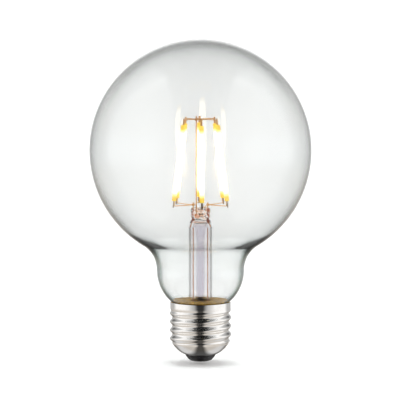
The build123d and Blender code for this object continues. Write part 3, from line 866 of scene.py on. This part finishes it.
def moulded_material(name, colour, shade, rough, grain_scale, height):
    """A non-metal with two close colours mixed by a grain, which also lifts the surface a little."""
    material, tree = new_material(name)
    grain = tree.noise(grain_scale, 4.0, 0.6)
    tree.finish(tree.node("BsdfPrincipled", None, {
        "Base Color": tree.mix_colour(grain.between(0.35, 0.65), colour, shade),
        "Roughness": rough + grain * 0.2,
        "Normal": tree.bump(grain, height)}))
    return material


white_sleeve = moulded_material("white_sleeve", (0.84, 0.84, 0.82), (0.76, 0.76, 0.73), 0.4, 2.5, 2e-5)
laminate = moulded_material("green_laminate", (0.05, 0.24, 0.10), (0.03, 0.17, 0.07), 0.3, 5.0, 1e-5)
sleeving = moulded_material("dark_capacitor", (0.05, 0.07, 0.10), (0.03, 0.04, 0.06), 0.2, 1.5, 1e-5)
lacquer = moulded_material("green_lacquer", (0.28, 0.38, 0.24), (0.20, 0.30, 0.18), 0.35, 2.0, 3e-5)
black_resin = moulded_material("black_resin", (0.02, 0.02, 0.02), (0.04, 0.04, 0.04), 0.5, 6.0, 1e-5)
driver_looks = (white_sleeve, laminate, sleeving, lacquer, black_resin)
print("finishes of the driver:", [material.name for material in driver_looks])

# %% [markdown]
# A table of names and finishes is the shortest way to dress the solids that keep their shape.

# %% Finishes of the solids that stay
finishes = {
    "cap_cement": cement,
    "support_wire": post_wire,
    "left_outer_lead": copper, "right_outer_lead": copper,
    "left_seal_wire": seal_copper, "right_seal_wire": seal_copper,
    "left_inner_lead": arm_wire, "right_inner_lead": arm_wire,
    "contact_wire": copper, "fuse_lead": copper, "shell_wire": copper,
    "driver_sleeve": white_sleeve, "driver_board": laminate,
    "smoothing_capacitor": sleeving, "fuse_resistor": lacquer,
    "bridge_rectifier": black_resin, "driver_chip": black_resin,
}
for name, material in finishes.items():
    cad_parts[name].data.materials.clear()
    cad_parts[name].data.materials.append(material)
print("solids that keep their shape:", len(finishes) + len(tabs))

# %% [markdown]
# ## The studio
# Clear glass only shows by what it reflects, so the studio matters more than the lamps. Straight through, the
# glass shows the white floor and backdrop. A mirrored ray finds a studio of its own, which is drawn here from
# the ray's direction: how far it is turned from the front, how far it points to the side, and how far down.
# The Glossy Depth of the light path tells a mirrored ray from one that only went straight through.

# %% Directions
world = bpy.data.worlds.new("studio")
scene.world = world
tree = Tree(world, "OutputWorld")
way = tree.node("TexCoord", out="Generated")
x, y, z = (tree.node("SeparateXYZ", None, {0: way}, out=axis) for axis in "XYZ")
length = (x * x + y * y) ** 0.5
turned = ((y * -1.0) / (length + 1e-4)).maths("ARCCOSINE") * (180 / math.pi)
across = x.maths("ABSOLUTE")
down = z * -1.0
low = down.between(0.10, 0.28)
beside = across.between(0.10, 0.32)
print("nodes for directions:", len(tree.nodes))

# %% [markdown]
# At the bulb's own height there are two wide soft boxes, one on each side. The dark gap in front is the
# stripe down the middle of the cap, and the dimmer gaps behind draw the globe's grey edge. Below lies a grey
# table, which the underside of the thread and of the bowl mirrors. Above, a dark patch keeps the top of the
# globe clear. All levels are brightness, where 1 is white.

# %% Mirrored studio
stripe = tree.node("ValToRGB", {"stops": [(place, (level,) * 3) for place, level in (
    (0.18, 0.025), (0.24, 0.06), (0.36, 0.31), (0.44, 0.47), (0.57, 0.62), (0.78, 0.94), (0.90, 1.06))]},
    {"Fac": across})
side_boxes = 1.06 - 0.56 * turned.between(103.0, 126.0) + 0.45 * turned.between(163.0, 176.0)
behind = y.between(-0.15, 0.15)
level_round = stripe + behind * (side_boxes - stripe)
front_table = 0.07 + (0.60 - 0.12 * down.between(0.6, 0.95)) * beside
far_edge = turned.between(130.0, 155.0) * (1 - down.between(0.45, 0.65))
far_edge = far_edge * (0.35 + 0.65 * down.between(0.25, 0.4))
far_table = 0.56 - 0.34 * far_edge + 0.1 * down.between(0.5, 0.7)
far_table = far_table * (1 - 0.88 * (1 - beside) * down.between(0.28, 0.45))
table = front_table + y.between(0.05, 0.35) * (far_table - front_table)
overhead = 1 - 0.95 * z.between(0.35, 0.6) * (1 - across.between(0.38, 0.48))
behind_above = 1 - 0.8 * turned.between(125.0, 150.0) * z.between(0.12, 0.4)
mirrored_level = (level_round + low * (table - level_round)) * overhead * behind_above
print("nodes with the mirrored studio:", len(tree.nodes))

# %% [markdown]
# The light that falls on matt surfaces comes from a soft ring and from a small lamp overhead, which drops a
# firm shadow under the tip. Rays that see the world straight on find plain white. The table is a warm beige,
# as nickel shows it under the thread, but not where only the bowl mirrors it.

# %% Lamps and background
is_diffuse = tree.path("Is Diffuse Ray")
mirrored = tree.path("Glossy Depth").between(0.2, 0.8) * (1 - is_diffuse)
fill_level, ring_level, top_level = 0.08, 1.31, 6.9
ring_light = ring_level * (z.between(0.26, 0.42) - z.between(0.62, 0.78))
lamp_level = fill_level + ring_light + top_level * z.between(0.91, 1.0)
plain = 1.0 + is_diffuse * (lamp_level - 1.0)
strength = plain + mirrored * (mirrored_level - plain)
bowl_side = y.between(0.0, 0.4) * down.between(0.35, 0.55)
warm = mirrored * low * (1 - bowl_side)
colour = tree.mix_colour(warm, (1.0, 1.0, 1.0), (1.0, 0.935, 0.86))
tree.finish(tree.node("Background", None, {"Color": colour, "Strength": strength}))
print("nodes of the studio:", len(tree.nodes))

# %% [markdown]
# ## Floor
# A wide sheet of pale paper carries the shadow. A real photograph of glass is exposed until the paper is
# white, so a faint glow is added where the camera sees the paper, and less of it through glass. Mirrored rays
# pass the paper and find the studio. The paper lies a little under the contact, because the bulb can't stand
# on its tip, and the shadow then shows just below it.

# %% Floor
floor_reach, floor_drop = 30.0, 1.2 * mm
glow_seen, glow_through_glass = 0.17, 0.02
corners = [(-floor_reach, -floor_reach, 0), (floor_reach, -floor_reach, 0),
           (floor_reach, floor_reach, 0), (-floor_reach, floor_reach, 0)]
floor_mesh = bpy.data.meshes.new("floor")
floor_mesh.from_pydata(corners, [], [(0, 1, 2, 3)])
floor = bpy.data.objects.new("floor", floor_mesh)
floor.location.z = -floor_drop
scene.collection.objects.link(floor)
floor_paint, tree = new_material("white_floor")
white = (1.0, 1.0, 1.0)
glow_level = (tree.path("Is Camera Ray") * glow_seen
              + tree.path("Is Transmission Ray") * glow_through_glass)
paper = tree.node("BsdfDiffuse", None, {"Color": (0.84, 0.84, 0.84)})
glow = tree.node("Emission", None, {"Color": white, "Strength": glow_level})
lit_paper = tree.node("AddShader", None, {0: paper, 1: glow})
open_way = tree.node("BsdfTransparent", None, {"Color": white})
mirror_ray = tree.path("Glossy Depth").between(0.2, 0.8)
tree.finish(tree.node("MixShader", None, {0: mirror_ray, 1: lit_paper, 2: open_way}))
floor_mesh.materials.append(floor_paint)
print("floor at", round(floor.location.z / mm, 2), "mm")

# %% [markdown]
# ## Camera
# The photograph was taken with a long lens, a little above the bulb: the rim of the skirt shows as a thin
# ellipse. The view transform is Standard, so that a colour renders as it is written.

# %% Camera
camera_data = bpy.data.cameras.new("camera")
camera_data.sensor_width = 36.0
camera_data.lens = 631.0
camera = bpy.data.objects.new("camera", camera_data)
scene.collection.objects.link(camera)
elevation = math.radians(6.5)
distance = 3.0
target = Vector((-0.0002, 0.0, 0.0694))
camera.location = target + Vector((0, -math.cos(elevation), math.sin(elevation))) * distance
camera.rotation_euler = (math.pi / 2 - elevation, 0, 0)
scene.camera = camera
scene.view_settings.view_transform = "Standard"
print("camera", distance, "m away, looking down", round(math.degrees(elevation), 1), "degrees")
